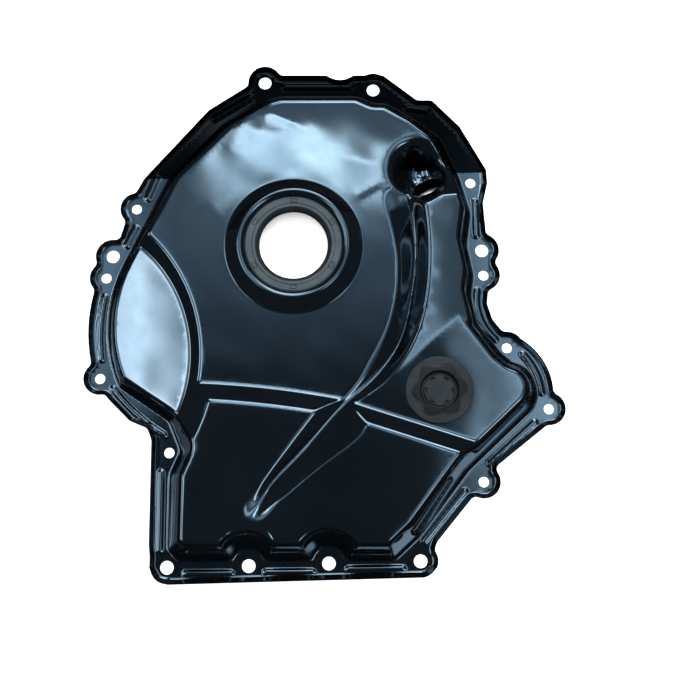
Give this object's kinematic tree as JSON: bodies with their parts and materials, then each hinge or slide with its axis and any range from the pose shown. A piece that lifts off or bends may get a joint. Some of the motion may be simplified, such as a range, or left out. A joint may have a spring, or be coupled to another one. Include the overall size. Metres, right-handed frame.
{
  "type": "timing cover",
  "caption": "Pressed steel engine timing cover with a crankshaft seal, stepped panels, a sloping crease, a dipstick-tube pocket and a push-in plug.",
  "frame": {"origin": "middle of the cover's outline in plan, on the plane of the sealing face", "axes": "+Z away from the engine along the crankshaft axis, +Y from the sump edge towards the top of the cover, +X to the right as seen from outside"},
  "size_m": [0.3308, 0.3658, 0.0323],
  "materials": {
    "painted_steel": "glossy blue-black coating over pressed steel sheet",
    "seal_rubber": "matte black fluoroelastomer",
    "case_steel": "plain steel ring inside the rubber",
    "spring_steel": "bright coiled wire",
    "plug_plastic": "matte black moulded plastic",
    "ring_rubber": "matte black rubber"
  },
  "bodies": {
    "root": {"cover": "painted_steel", "seal_body": "seal_rubber", "seal_case": "case_steel", "garter_spring": "spring_steel", "plug": "plug_plastic", "plug_ring": "ring_rubber"}
  },
  "joints": []
}
